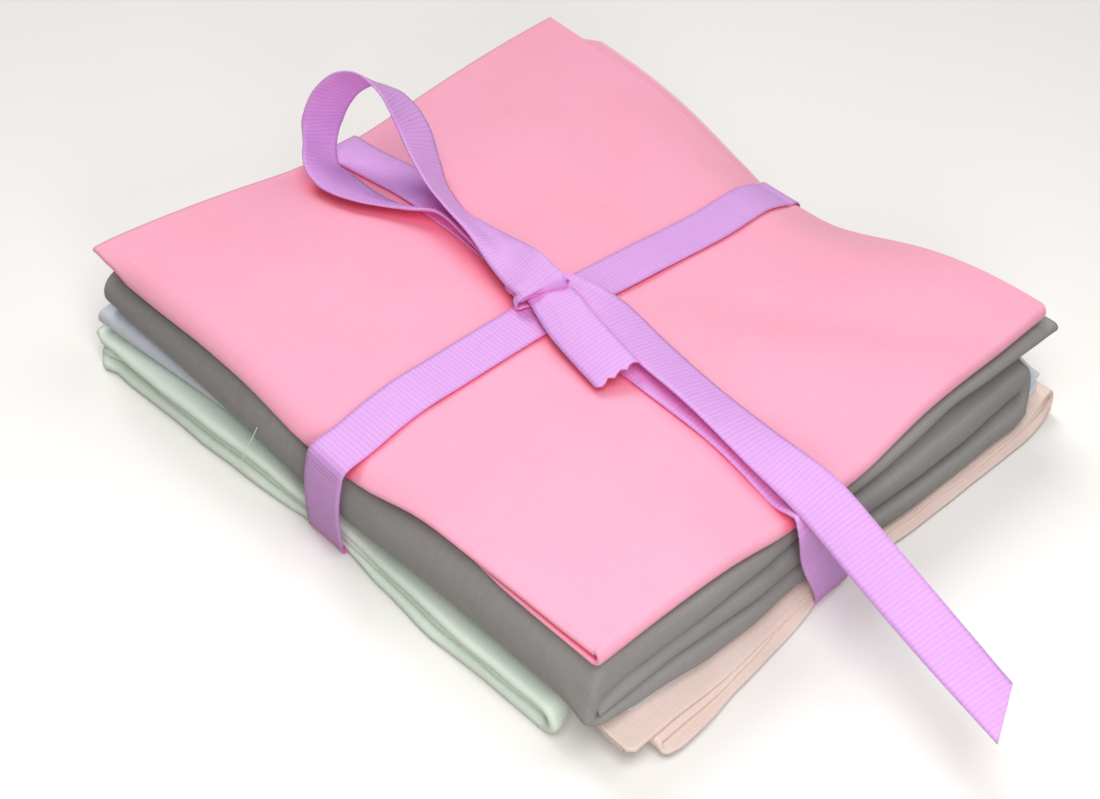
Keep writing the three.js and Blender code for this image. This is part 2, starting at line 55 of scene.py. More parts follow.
# Heights of the flat stack's levels, and what they become along the front and along the right side.
# In pairs: underside and top of the mint, peach and ice cloths, of the grey's three layers, and of the pink.
flatLevels = [0, 8.7, 9.2, 12.71, 13.3, 16.81, 17.5, 20.2, 20.66, 23.36, 23.82, 26.52, 27.05, 31.06]
frontLevels = {
    "left": [0, 8, 8.4, 8.9, 9.3, 13.7, 14.4, 17.3, 17.8, 20.7, 21.2, 24, 26.2, 31],
    "right": [0, 8.8, 9.1, 9.7, 10.0, 10.6, 11.2, 13.6, 14.2, 19.4, 20.2, 26.4, 27.4, 31.2],
}
rightLevels = [
    (-70, [0, 1.4, 1.8, 6.6, 7.0, 9.0, 9.8, 11.4, 11.6, 12.6, 13.0, 26.2, 27.4, 31.4]),
    (-57, [0, 1.2, 1.5, 5.8, 6.1, 6.9, 7.2, 11.6, 12.2, 15.6, 16.2, 26.2, 27.4, 31.2]),
    (-36, [0, 0.8, 1.1, 3.6, 3.8, 4.3, 4.6, 11.2, 11.8, 17.4, 18.2, 26.0, 26.8, 30.6]),
    (-5, [0, 0.7, 1.0, 3.0, 3.2, 3.6, 4.0, 9.8, 10.5, 18.4, 20.4, 25.6, 26.2, 30.2]),
    (34, [0, 0.6, 0.9, 2.6, 2.7, 3.1, 3.4, 9.4, 10.2, 19.0, 23.0, 26.4, 27.0, 30.9]),
    (65, [0, 0.6, 0.9, 2.8, 2.9, 3.4, 3.7, 9.4, 10.2, 19.0, 23.4, 26.6, 27.2, 31.0]),
    (71, [0, 0.8, 1.2, 7.0, 7.6, 12.6, 13.2, 14.0, 14.6, 20.0, 24.0, 26.6, 27.2, 31.0]),
]
# Where the ribbon pulls an edge down: how far in that starts, and how it spreads to each side of the band.
drawnEdges = [
    {"along": "x", "depth": 6.2, "start": -15, "end": 60, "low": (2, 33), "high": (10, 28)},
    {"along": "x", "depth": 8.1, "start": 53, "end": 80, "low": (2, 33), "high": (11, 28)},
    {"along": "x", "depth": 3.6, "start": -50, "end": -71, "low": (6, 18), "high": (6, 15)},
    {"along": "y", "depth": 6.8, "start": -36, "end": -76, "low": (0, 45), "high": (0, 45)},
    {"along": "y", "depth": 4.2, "start": 50, "end": 77, "low": (10, 16), "high": (10, 16)},
]
# Soft troughs (depth above 0) and ridges (below 0) in the top: middle, direction, half length, half width.
creases = [
    {"x": 44, "y": 33, "turn": 35, "reach": 30, "width": 7.5, "depth": 2.3},
    {"x": 20, "y": 24, "turn": 62, "reach": 20, "width": 6, "depth": 0.35},
    {"x": -14, "y": 26, "turn": 118, "reach": 24, "width": 7, "depth": 0.5},
    {"x": -42, "y": 34, "turn": 150, "reach": 22, "width": 10, "depth": -0.4},
    {"x": -34, "y": -32, "turn": 25, "reach": 26, "width": 10, "depth": -0.35},
    {"x": 40, "y": -40, "turn": -30, "reach": 26, "width": 11, "depth": -0.4},
    {"x": 30, "y": -24, "turn": -20, "reach": 20, "width": 6, "depth": 0.35},
    {"x": 62, "y": 22, "turn": 80, "reach": 26, "width": 5, "depth": 0.3},
]


def ease(value, start, end):
    share = np.clip((value - start) / (end - start), 0, 1)
    return share * share * (3 - 2 * share)


def bandPress(distance, hold, spread):
    past = np.maximum(np.abs(distance) - hold, 0) / spread
    return np.exp(-past * past)


def topDip(x, y):
    besideLong, besideCross = x - settling["longBandX"], y - settling["crossBandY"]
    overLong = bandPress(besideLong, settling["middleHold"], settling["middleSpread"])
    overCross = bandPress(besideCross, settling["middleHold"], settling["middleSpread"])
    dip = settling["middleDip"] * np.maximum(overLong, overCross)
    for edge in drawnEdges:
        crossing, beside = (y, besideLong) if edge["along"] == "x" else (x, besideCross)
        fall = ease((crossing - edge["start"]) / (edge["end"] - edge["start"]), 0, 1)
        press = np.where(beside < 0, bandPress(beside, *edge["low"]), bandPress(beside, *edge["high"]))
        dip = dip + edge["depth"] * fall * press
    for crease in creases:
        turn = math.radians(crease["turn"])
        alongIt = (x - crease["x"]) * math.cos(turn) + (y - crease["y"]) * math.sin(turn)
        acrossIt = (y - crease["y"]) * math.cos(turn) - (x - crease["x"]) * math.sin(turn)
        fade = (alongIt / crease["reach"]) ** 2 + (acrossIt / crease["width"]) ** 2
        dip = dip + crease["depth"] * np.exp(-fade)
    return dip


def levelIn(heights, z):
    return np.interp(z, flatLevels, heights) + np.maximum(z - flatLevels[-1], 0) + np.minimum(z, 0)


def rightLevel(y, z):
    # Blends the levels of the two places along the right side that y is between.
    level = levelIn(rightLevels[0][1], z)
    for (start, _), (end, heights) in zip(rightLevels, rightLevels[1:]):
        share = ease(y, start, end)
        level = level * (1 - share) + levelIn(heights, z) * share
    return level


def settle(x, y, z):
    rightShare = ease(x, settling["rightFrom"], settling["rightTo"])
    frontShare = ease(-y, settling["frontFrom"], settling["frontTo"]) * (1 - rightShare)
    towardsRight = ease(x, settling["frontLeftEnd"], settling["frontRightEnd"])
    atLeft, atRight = levelIn(frontLevels["left"], z), levelIn(frontLevels["right"], z)
    frontLevel = atLeft * (1 - towardsRight) + atRight * towardsRight
    level = z + rightShare * (rightLevel(y, z) - z) + frontShare * (frontLevel - z)
    level = level * (1 - topDip(x, y) / settling["height"])
    # The lowest cloth gives way to the ribbon that runs under it.
    underLong = bandPress(x - settling["longBandX"], settling["underHold"], settling["underSpread"])
    underCross = bandPress(y - settling["crossBandY"], settling["underHold"], settling["underSpread"])
    lift = settling["underLift"] * np.maximum(underLong, underCross)
    return level + lift * np.clip(1 - level / settling["underHeight"], 0, 1)


# An uneven line: a few sines, each quicker and weaker than the one before.
unevenLine = {"sines": 4, "quicken": 0.83, "turn": 6.28, "seedStep": 10}


def wavy(value, seed, reach):
    draw = np.random.default_rng(seed)
    total = np.zeros_like(value, dtype=float)
    for step in range(unevenLine["sines"]):
        length = reach / (1 + unevenLine["quicken"] * step)
        start = draw.uniform(0, unevenLine["turn"])
        total = total + np.sin(2 * math.pi * value / length + start) / (1 + step)
    return total / 2


# Steps of the folded sheets: along each layer of the last fold, across its outer and inner plies, and round
# the folds. The places crowd towards the folds by the share in tight.
sheetSteps = {
    "top": 54, "middle": 44, "bottom": 38, "outer": 50, "inner": 22,
    "wrap": 12, "tuck": 8, "plyFold": 8, "tight": 0.75,
}
layerGap = 0.17   # between two layers, as a share of a layer's thickness
layerNames = ["bottom", "middle", "top"]


def ramp(count):
    # Places from 0 to 1, closer together towards both ends.
    even = np.linspace(0, 1, count + 1)
    return (1 - sheetSteps["tight"]) * even + sheetSteps["tight"] * (0.5 - 0.5 * np.cos(math.pi * even))


def foldStations(fold):
    # The way along the last fold: the tucked layer, the tight fold, the bottom, the wrapping fold, the top.
    half, pitch, flip = fold["sheet"] / 2, fold["sheet"] * (1 + layerGap), fold["wrap"]
    bottomZ = fold["base"] + half
    wrapEnd, tuckEnd = (fold["high"], fold["low"]) if flip > 0 else (fold["low"], fold["high"])
    wrapCentre = wrapEnd - flip * (half + pitch)
    tuckCentre = tuckEnd + flip * (half + pitch / 2)
    rows = []

    def layer(name, start, end, z, turn):
        order = layerNames.index(name)
        for share in ramp(sheetSteps[name]):
            rows.append((start + (end - start) * share, z, turn, 0, order, order, 0))

    def turnOver(start, end, centre, radius, z, steps, side, startsUp):
        for step in range(1, steps):
            angle = math.pi * step / steps
            height = math.cos(angle) if startsUp else -math.cos(angle)
            turn = angle if startsUp else math.pi - angle
            place = (centre + side * radius * math.sin(angle), z + radius * height)
            rows.append((*place, turn, side, layerNames.index(start), layerNames.index(end), step / steps))

    layer("middle", wrapCentre - flip * fold["tuckShort"], tuckCentre, bottomZ + pitch, 0)
    tuckZ = bottomZ + pitch / 2
    turnOver("middle", "bottom", tuckCentre, pitch / 2, tuckZ, sheetSteps["tuck"], -flip, True)
    layer("bottom", tuckCentre, wrapCentre, bottomZ, math.pi)
    turnOver("bottom", "top", wrapCentre, pitch, bottomZ + pitch, sheetSteps["wrap"], flip, False)
    layer("top", wrapCentre, tuckEnd + flip * fold["freeEnd"], bottomZ + 2 * pitch, 0)
    return [np.array(column) for column in zip(*rows)]


def pliesAcross(fold):
    # The way across: four plies, folded in half twice, with the double fold at the ridge side.
    # Each place is a share of the way from the open side to the ridge side, an offset, and a height.
    ply = (fold["sheet"] - fold["thick"]) / 3   # between the middles of two plies
    outer, inner = 1.5 * ply, 0.5 * ply
    rows = []

    def flat(fromRidge, openIn, height, steps):
        shares = ramp(steps)
        for share in (shares[::-1] if fromRidge else shares):
            rows.append((share, openIn * (1 - share) - outer * share, height))

    def turnOver(atRidge, inset, radius, middle, fromBelow):
        steps = sheetSteps["plyFold"]
        for step in range(1, steps):
            angle = math.pi * step / steps
            out = radius * math.sin(angle) - inset
            rise = -math.cos(angle) if fromBelow else math.cos(angle)
            rows.append((1 if atRidge else 0, out if atRidge else -out, middle + radius * rise))

    flat(False, fold["edgeIn"][0], -outer, sheetSteps["outer"])
    turnOver(True, outer, outer, 0, True)
    flat(True, inner, outer, sheetSteps["outer"])
    turnOver(False, inner, inner, ply, False)
    flat(False, inner, inner, sheetSteps["inner"])
    turnOver(True, outer, inner, 0, False)
    flat(True, fold["edgeIn"][1], -inner, sheetSteps["inner"])
    return [np.array(column) for column in zip(*rows)]


def sideLimits(fold, which, stationS, layerFrom, layerTo, share):
    # The outermost place across the run, from the given places of each layer, with an uneven line.
    sign = -1 if which == "near" else 1
    lines = []
    for index, name in enumerate(layerNames):
        spots, places = zip(*fold[which][name])
        seed = fold["seed"] + unevenLine["seedStep"] * index + len(which)
        uneven = wavy(stationS, seed, fold["waveLength"])
        lines.append(np.interp(stationS, spots, places) + sign * fold["uneven"] * uneven)
    picked = np.arange(len(stationS))
    limit = np.stack(lines)[layerFrom, picked] * (1 - share) + np.stack(lines)[layerTo, picked] * share
    if which == "far":
        beside = stationS - settling["crossBandY"]
        limit = limit - fold["drawn"] * bandPress(beside, settling["drawnHold"], settling["drawnSpread"])
    return limit


rollLimit = 0.95   # a rolled edge ends just short of a quarter turn


def rollEdge(x, y, roll):
    # How far a loose edge has rolled down where it passes the start, with a radius that changes along x.
    radius = np.interp(x, *zip(*roll["radius"]))
    past = np.clip(y * roll["towards"] - roll["start"], 0, rollLimit * radius)
    return radius - np.sqrt(radius * radius - past * past)


def lengthsOf(line):
    steps = np.linalg.norm(np.diff(line[:, :3], axis=0), axis=-1)
    return np.concatenate([[0], np.cumsum(steps)])


def foldedSheet(fold):
    # Carries the plies along the stations, settles every point in the stack and rolls loose edges down.
    s, z, turn, side, layerFrom, layerTo, share = foldStations(fold)
    place, offset, height = pliesAcross(fold)
    near = sideLimits(fold, "near", s, layerFrom, layerTo, share) + fold["thick"] / 2
    far = sideLimits(fold, "far", s, layerFrom, layerTo, share) - fold["thick"] / 2
    openSide, ridgeSide = (near, far) if fold["ridge"] == "far" else (far, near)
    facing = 1 if fold["ridge"] == "far" else -1
    across = openSide[:, None] * (1 - place) + ridgeSide[:, None] * place + facing * offset
    along = s[:, None] + height * (side * np.sin(turn))[:, None] + fold["skew"] * across
    level = z[:, None] + height * np.cos(turn)[:, None]
    x, y = (along, across) if fold["run"] == "x" else (across, along)
    for pull in fold["pulls"]:
        moved = pull["by"] * ease(x, *pull["x"]) * ease(y, *pull["y"])
        x, y = (x + moved, y) if pull["axis"] == "x" else (x, y + moved)
    heights = settle(x, y, level)
    for roll in fold["rolls"]:
        mine = (layerFrom == layerNames.index(roll["layer"])) & (layerTo == layerFrom)
        heights = heights - np.where(mine, 1.0, 0.0)[:, None] * rollEdge(x, y, roll)
    points = np.stack([x, y, heights], axis=-1)
    bottomRow, outerColumn = len(s) // 2, len(place) // 8   # on the bottom layer, and on its outer ply
    return points, lengthsOf(points[:, outerColumn]), lengthsOf(points[bottomRow])


def gridQuads(rows, columns, start=0):
    index = start + np.arange(rows * columns).reshape(rows, columns)
    corners = [index[:-1, :-1], index[:-1, 1:], index[1:, 1:], index[1:, :-1]]
    return np.stack(corners, axis=-1).reshape(-1, 4)


def sheetObject(name, points, quads, flat):
    # A sheet from its places and faces, with its flat lengths in metres as the UV map.
    mesh = bpy.data.meshes.new(name)
    mesh.from_pydata((points * mm).tolist(), [], quads.tolist())
    layer = mesh.uv_layers.new(name="cloth")
    corners = np.zeros(len(mesh.loops), dtype=np.int32)
    mesh.loops.foreach_get("vertex_index", corners)
    layer.data.foreach_set("uv", (flat * mm)[corners].astype(np.float32).ravel())
    mesh.polygons.foreach_set("use_smooth", np.ones(len(mesh.polygons), dtype=bool))
    piece = bpy.data.objects.new(name, mesh)
    bpy.context.scene.collection.objects.link(piece)
    return piece


def plainMesh(piece):
    # Keeps what the modifiers make as a plain mesh, and removes them.
    made = bpy.data.meshes.new_from_object(piece.evaluated_get(bpy.context.evaluated_depsgraph_get()))
    piece.modifiers.clear()
    made.name = piece.name
    piece.data = made


def thicken(piece, thick):
    solid = piece.modifiers.new("thickness", "SOLIDIFY")
    solid.thickness = thick * mm
    solid.offset = 0
    solid.use_even_offset = False
    plainMesh(piece)


# Shader nodes and groups that the cloths and the ribbon share.
def addMath(tree, operation, first, second=None):
    node = tree.nodes.new("ShaderNodeMath")
    node.operation = operation
    for socket, value in zip(node.inputs, (first, second)):
        if value is None:
            continue
        if isinstance(value, (int, float)):
            socket.default_value = value
        else:
            tree.links.new(value, socket)
    return node.outputs[0]


def newGroup(name, inputs, outputs):
    group = bpy.data.node_groups.new(name, "ShaderNodeTree")
    for label, kind, default in inputs:
        socket = group.interface.new_socket(label, in_out="INPUT", socket_type=kind)
        if default is not None:
            socket.default_value = default
    for label, kind in outputs:
        group.interface.new_socket(label, in_out="OUTPUT", socket_type=kind)
    return group, group.nodes.new("NodeGroupInput").outputs, group.nodes.new("NodeGroupOutput").inputs


# The weave: its usual thread, and how long and how fine the streaks along the threads are.
weaveFeel = {
    "pitch": 0.0004, "streakLong": 90.0, "streakFine": 1700.0, "streakDetail": 2.0, "streak": (0.3, 0.7),
}
mottleFeel = {"scale": 60.0, "detail": 3.0, "roughness": 0.55}


def plainWeaveGroup():
    group, given, made = newGroup(
        "plain weave",
        [("Flat", "NodeSocketVector", None), ("Thread Pitch", "NodeSocketFloat", weaveFeel["pitch"])],
        [("Height", "NodeSocketFloat"), ("Streak", "NodeSocketFloat")],
    )
    split = group.nodes.new("ShaderNodeSeparateXYZ")
    group.links.new(given["Flat"], split.inputs[0])
    threads = [addMath(group, "DIVIDE", split.outputs[axis], given["Thread Pitch"]) for axis in ("X", "Y")]
    waves = [addMath(group, "SINE", addMath(group, "MULTIPLY", thread, math.pi)) for thread in threads]
    crowns = [addMath(group, "ABSOLUTE", wave) for wave in waves]
    over = addMath(group, "GREATER_THAN", addMath(group, "MULTIPLY", *waves), 0.0)
    under = addMath(group, "SUBTRACT", 1.0, over)
    lifted = [addMath(group, "MULTIPLY", crown, side) for crown, side in zip(crowns, (over, under))]
    group.links.new(addMath(group, "ADD", *lifted), made["Height"])
    long, fine = weaveFeel["streakLong"], weaveFeel["streakFine"]
    streaks = []
    for scale in ((long, fine, 1.0), (fine, long, 1.0)):
        stretch = group.nodes.new("ShaderNodeVectorMath")
        stretch.operation = "MULTIPLY"
        stretch.inputs[1].default_value = scale
        group.links.new(given["Flat"], stretch.inputs[0])
        noise = group.nodes.new("ShaderNodeTexNoise")
        noise.inputs["Scale"].default_value = 1.0
        noise.inputs["Detail"].default_value = weaveFeel["streakDetail"]
        group.links.new(stretch.outputs[0], noise.inputs["Vector"])
        streaks.append(noise.outputs["Fac"])
    group.links.new(addMath(group, "MULTIPLY", addMath(group, "ADD", *streaks), 0.5), made["Streak"])
    return group


def clothMottleGroup():
    group, given, made = newGroup(
        "cloth mottle",
        [("Place", "NodeSocketVector", None), ("Scale", "NodeSocketFloat", mottleFeel["scale"])],
        [("Mottle", "NodeSocketFloat")],
    )
    noise = group.nodes.new("ShaderNodeTexNoise")
    noise.inputs["Detail"].default_value = mottleFeel["detail"]
    noise.inputs["Roughness"].default_value = mottleFeel["roughness"]
    group.links.new(given["Place"], noise.inputs["Vector"])
    group.links.new(given["Scale"], noise.inputs["Scale"])
    group.links.new(noise.outputs["Fac"], made["Mottle"])
    return group


weaveGroup = plainWeaveGroup()
mottleGroup = clothMottleGroup()


def linear(rgb):
    # A colour as screens show it, made linear for the shaders.
    channels = [value / 255 for value in rgb]
    return tuple(c / 12.92 if c <= 0.04045 else ((c + 0.055) / 1.055) ** 2.4 for c in channels) + (1.0,)


def mixColours(tree, factor, first, second):
    mix = tree.nodes.new("ShaderNodeMix")
    mix.data_type = "RGBA"
    tree.links.new(factor, mix.inputs["Factor"])
    for socket, value in ((mix.inputs["A"], first), (mix.inputs["B"], second)):
        if isinstance(value, tuple):
            socket.default_value = value
        else:
            tree.links.new(value, socket)
    return mix.outputs["Result"]


def remap(tree, value, low, high, toLow, toHigh):
    node = tree.nodes.new("ShaderNodeMapRange")
    tree.links.new(value, node.inputs["Value"])
    for label, number in (("From Min", low), ("From Max", high), ("To Min", toLow), ("To Max", toHigh)):
        node.inputs[label].default_value = number
    return node.outputs["Result"]


def selvageOver(tree, flat, cloth, selvage):
    # The woven edge of the cloth: a paler strip along one layer, with a line of pin holes.
    parts = tree.nodes.new("ShaderNodeSeparateXYZ")
    tree.links.new(flat, parts.inputs["Vector"])
    across, along = parts.outputs["X"], parts.outputs["Y"]
    fromEdge = addMath(tree, "ABSOLUTE", addMath(tree, "SUBTRACT", across, selvage["across"] * mm))
    onLayer = addMath(tree, "LESS_THAN", along, selvage["end"] * mm)
    strip = addMath(tree, "MULTIPLY", addMath(tree, "LESS_THAN", fromEdge, selvage["half"] * mm), onLayer)
    fromLine = addMath(tree, "ABSOLUTE", addMath(tree, "SUBTRACT", fromEdge, selvage["holesIn"] * mm))
    turns = addMath(tree, "MULTIPLY", along, 2 * math.pi / (selvage["holePitch"] * mm))
    wave = addMath(tree, "SINE", turns)
    inLine = addMath(tree, "LESS_THAN", fromLine, selvage["holeSize"] * mm)
    inHole = addMath(tree, "MULTIPLY", inLine, addMath(tree, "GREATER_THAN", wave, 0))
    hole = addMath(tree, "MULTIPLY", strip, inHole)
    edged = mixColours(tree, strip, cloth, linear(selvage["colour"]))
    return mixColours(tree, hole, edged, linear(selvage["hole"]))


def paintCloseShade(tree, cloth, closeShade):
    # Painted shade: the colour is painted deeper where the ribbon or another fold lies close to it, as if
    # shaded.
    close = tree.nodes.new("ShaderNodeAmbientOcclusion")
    close.samples = closeShade["samples"]
    close.inputs["Distance"].default_value = closeShade["reach"] * mm
    share = remap(tree, close.outputs["AO"], closeShade["closed"], closeShade["open"], closeShade["share"], 0)
    return mixColours(tree, share, cloth, linear(closeShade["colour"]))


def newMaterial(name):
    material = bpy.data.materials.new(name)
    material.use_nodes = True
    return material, material.node_tree, material.node_tree.nodes["Principled BSDF"]


def wovenThreads(tree, finish):
    # The weave on the flat cloth, and a colour that changes from thread to thread.
    flat = tree.nodes.new("ShaderNodeUVMap")
    flat.uv_map = "cloth"
    weave = tree.nodes.new("ShaderNodeGroup")
    weave.node_tree = weaveGroup
    weave.inputs["Thread Pitch"].default_value = finish["threadPitch"] * mm
    tree.links.new(flat.outputs["UV"], weave.inputs["Flat"])
    share = remap(tree, weave.outputs["Streak"], *weaveFeel["streak"], 0, 1)
    colour = mixColours(tree, share, linear(finish["dark"]), linear(finish["light"]))
    return flat.outputs["UV"], weave.outputs, colour


def raiseThreads(tree, shader, height, strength, depth):
    bump = tree.nodes.new("ShaderNodeBump")
    bump.inputs["Strength"].default_value = strength
    bump.inputs["Distance"].default_value = depth * mm
    tree.links.new(height, bump.inputs["Height"])
    tree.links.new(bump.outputs["Normal"], shader.inputs["Normal"])


# What the five cottons share: where the painted shade in the weave's hollows, the patches and dullness set
# in, and the height of the threads.
cotton = {
    "hollow": (0.0, 0.5), "patch": (0.3, 0.75), "dullFrom": (0.2, 0.8), "dull": (0.78, 0.92),
    "depth": 0.06, "streakLift": 1.2, "sheenRoughness": 0.45, "specular": 0.25,
}


def cottonMaterial(finish):
    material, tree, shader = newMaterial(finish["name"])
    flat, weave, threads = wovenThreads(tree, finish)
    place = tree.nodes.new("ShaderNodeTexCoord")
    mottle = tree.nodes.new("ShaderNodeGroup")
    mottle.node_tree = mottleGroup
    mottle.inputs["Scale"].default_value = finish["mottleScale"]
    tree.links.new(place.outputs["Object"], mottle.inputs["Place"])
    patches = mottle.outputs["Mottle"]
    # Painted shade: the hollows of the weave are painted darker.
    hollowShare = remap(tree, weave["Height"], *cotton["hollow"], finish["gapShade"], 0)
    hollow = mixColours(tree, hollowShare, threads, linear(finish["hollowShade"]))
    patchShare = remap(tree, patches, *cotton["patch"], 0, finish["mottle"])
    colour = mixColours(tree, patchShare, hollow, linear(finish["patch"]))
    if "selvage" in finish:
        colour = selvageOver(tree, flat, colour, finish["selvage"])
    # Painted shade near the ribbon and close folds.
    if "closeShade" in finish:
        colour = paintCloseShade(tree, colour, finish["closeShade"])
    tree.links.new(colour, shader.inputs["Base Color"])
    tree.links.new(remap(tree, patches, *cotton["dullFrom"], *cotton["dull"]), shader.inputs["Roughness"])
    streaks = addMath(tree, "MULTIPLY", weave["Streak"], cotton["streakLift"])
    raised = addMath(tree, "ADD", weave["Height"], streaks)
    raiseThreads(tree, shader, raised, finish["bump"], cotton["depth"])
    shader.inputs["Sheen Weight"].default_value = finish["sheen"]
    shader.inputs["Sheen Roughness"].default_value = cotton["sheenRoughness"]
    shader.inputs["Specular IOR Level"].default_value = cotton["specular"]
    return material


def makeCloth(fold, finish):
    points, lengthAlong, lengthAcross = foldedSheet(fold)
    rows, columns = points.shape[:2]
    flat = np.stack(np.broadcast_arrays(lengthAcross[None, :], lengthAlong[:, None]), axis=-1)
    piece = sheetObject(fold["piece"], points.reshape(-1, 3), gridQuads(rows, columns), flat.reshape(-1, 2))
    piece.data.materials.append(cottonMaterial(finish))
    thicken(piece, fold["thick"])
    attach(piece, "root")
    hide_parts(fold["node"])
    print(fold["piece"], "folded:", len(piece.data.polygons), "faces")
    return piece


# In each cloth: the run of the last fold and the end it wraps round (1 or -1), the lowest height, a layer's
# thickness, the run's ends, and the edges near and far, as places along the run and across it.
mintFold = {
    "piece": "mint_cloth", "node": "fat_quarter_mint",
    "run": "x", "wrap": 1, "base": 0.0, "sheet": 2.6, "low": -74.6, "high": 69.2, "skew": 0,
    "freeEnd": -1.6, "tuckShort": -1.1,
    "ridge": "near", "thick": 0.34, "edgeIn": (1.4, 0.6), "drawn": 0, "seed": 11, "uneven": 0.35,
    "waveLength": 47,
    "near": {
        "bottom": [
            (-75, -72), (-73, -75), (-71, -75.6), (-68, -74.3), (-62, -74.6), (-35, -73.7), (3, -70.4),
            (35, -72.8), (70, -71.6),
        ],
        "middle": [
            (-75, -73), (-72, -74.4), (-68, -73), (-35, -72.6), (3, -70.1), (35, -71.8), (70, -70.8),
        ],
        "top": [
            (-76, -73.6), (-73, -74.8), (-68, -74.4), (-35, -73.6), (3, -70.6), (35, -72.4), (70, -72.4),
        ],
    },
    "far": {
        "bottom": [(-75, 66), (70, 67)], "middle": [(-75, 66.5), (70, 66)], "top": [(-75, 65), (70, 66)],
    },
    "pulls": [{"axis": "x", "by": -6.0, "x": (40, 70), "y": (-72, -56)}],
    "rolls": [],
}
mintFinish = {
    "name": "mint_cotton", "light": (240, 253, 243), "dark": (231, 249, 236), "hollowShade": (198, 217, 203),
    "patch": (246, 254, 248),
    "threadPitch": 0.42, "mottleScale": 50, "mottle": 0.5, "gapShade": 0.25, "bump": 0.45, "sheen": 0.2,
}
mintCloth = makeCloth(mintFold, mintFinish)

peachFold = {
    "piece": "peach_cloth", "node": "fat_quarter_peach",
    "run": "y", "wrap": 1, "base": 9.2, "sheet": 1.05, "low": -60, "high": 71.2, "skew": 0,
    "freeEnd": -6.5, "tuckShort": -0.4,
    "ridge": "far", "thick": 0.2, "edgeIn": (1.2, 0.4), "drawn": 0, "seed": 23, "uneven": 0.35,
    "waveLength": 47,
    "near": {
        "bottom": [(-66, -66), (72, -66)], "middle": [(-66, -65), (72, -65)],
        "top": [(-66, -66), (72, -66)],
    },
    "far": {
        "bottom": [
            (-60, 86), (-56, 87), (-44, 86.2), (-34, 85), (-23, 83.8), (-13, 82.4), (-5, 80.4), (3, 80.4),
            (14, 82.8), (40, 83.4), (60, 84.2), (66, 83.6), (71, 82),
        ],
        "middle": [(-60, 84.4), (-40, 83.6), (-5, 79.8), (3, 79.8), (40, 81.8), (66, 82), (71, 81)],
        "top": [
            (-66.5, 81.8), (-65, 83.4), (-40, 82.6), (-5, 79.6), (3, 79.6), (40, 81), (66, 81.6),
            (71, 81),
        ],
    },
    "pulls": [{"axis": "y", "by": 4.2, "x": (45, 82), "y": (40, 70)}],
    "rolls": [],
}
peachFinish = {
    "name": "peach_cotton", "light": (244, 224, 217), "dark": (236, 213, 205), "hollowShade": (212, 183, 173),
    "patch": (248, 231, 225),
    "threadPitch": 0.4, "mottleScale": 50, "mottle": 0.4, "gapShade": 0.25, "bump": 0.45, "sheen": 0.2,
}
makeCloth(peachFold, peachFinish)

iceFold = {
    "piece": "ice_cloth", "node": "fat_quarter_ice",
    "run": "y", "wrap": -1, "base": 13.3, "sheet": 1.05, "low": -66.5, "high": 65, "skew": 0.084,
    "freeEnd": 0.6, "tuckShort": -0.4,
    "ridge": "far", "thick": 0.2, "edgeIn": (1.0, 0.4), "drawn": 1, "seed": 31, "uneven": 0.3,
    "waveLength": 53,
    "near": {
        "bottom": [(-67, -75.6), (67, -74)], "middle": [(-67, -74.6), (67, -73)],
        "top": [(-67, -75.6), (67, -74)],
    },
    "far": {
        "bottom": [(-67, 77), (40, 77.4), (67, 79)], "middle": [(-67, 76), (67, 77.4)],
        "top": [(-67, 76.5), (40, 77), (67, 78.6)],
    },
    "pulls": [], "rolls": [],
}
iceFinish = {
    "name": "ice_cotton", "light": (222, 229, 240), "dark": (210, 218, 231), "hollowShade": (182, 191, 206),
    "patch": (226, 233, 243),
    "threadPitch": 0.4, "mottleScale": 50, "mottle": 0.4, "gapShade": 0.25, "bump": 0.45, "sheen": 0.2,
}
makeCloth(iceFold, iceFinish)

greyFold = {
    "piece": "grey_cloth", "node": "fat_quarter_grey",
    "run": "y", "wrap": -1, "base": 17.5, "sheet": 2.7, "low": -71.5, "high": 66.5, "skew": 0,
    "freeEnd": -5.5, "tuckShort": -1.2,
    "ridge": "far", "thick": 0.34, "edgeIn": (1.6, 0.8), "drawn": 1, "seed": 43, "uneven": 0.35,
    "waveLength": 58,
    "near": {
        "bottom": [(-72, -74), (67, -74)], "middle": [(-72, -73), (67, -73.5)],
        "top": [(-72, -73.5), (72, -73)],
    },
    "far": {
        "bottom": [(-72, 77), (-40, 78.4), (0, 79.6), (40, 81.2), (60, 81.8), (67, 80.5)],
        "middle": [(-72, 76.5), (-40, 77.4), (0, 78.4), (40, 79.6), (67, 79)],
        "top": [(-72, 76), (-40, 77), (0, 77.2), (40, 77.4), (67, 78.4), (72, 78.6)],
    },
    "pulls": [], "rolls": [],
}
greyFinish = {
    "name": "grey_cotton", "light": (161, 161, 161), "dark": (149, 149, 149), "hollowShade": (121, 121, 121),
    "patch": (155, 155, 155),
    "threadPitch": 0.42, "mottleScale": 50, "mottle": 0.5, "gapShade": 0.3, "bump": 0.5, "sheen": 0.15,
}
makeCloth(greyFold, greyFinish)

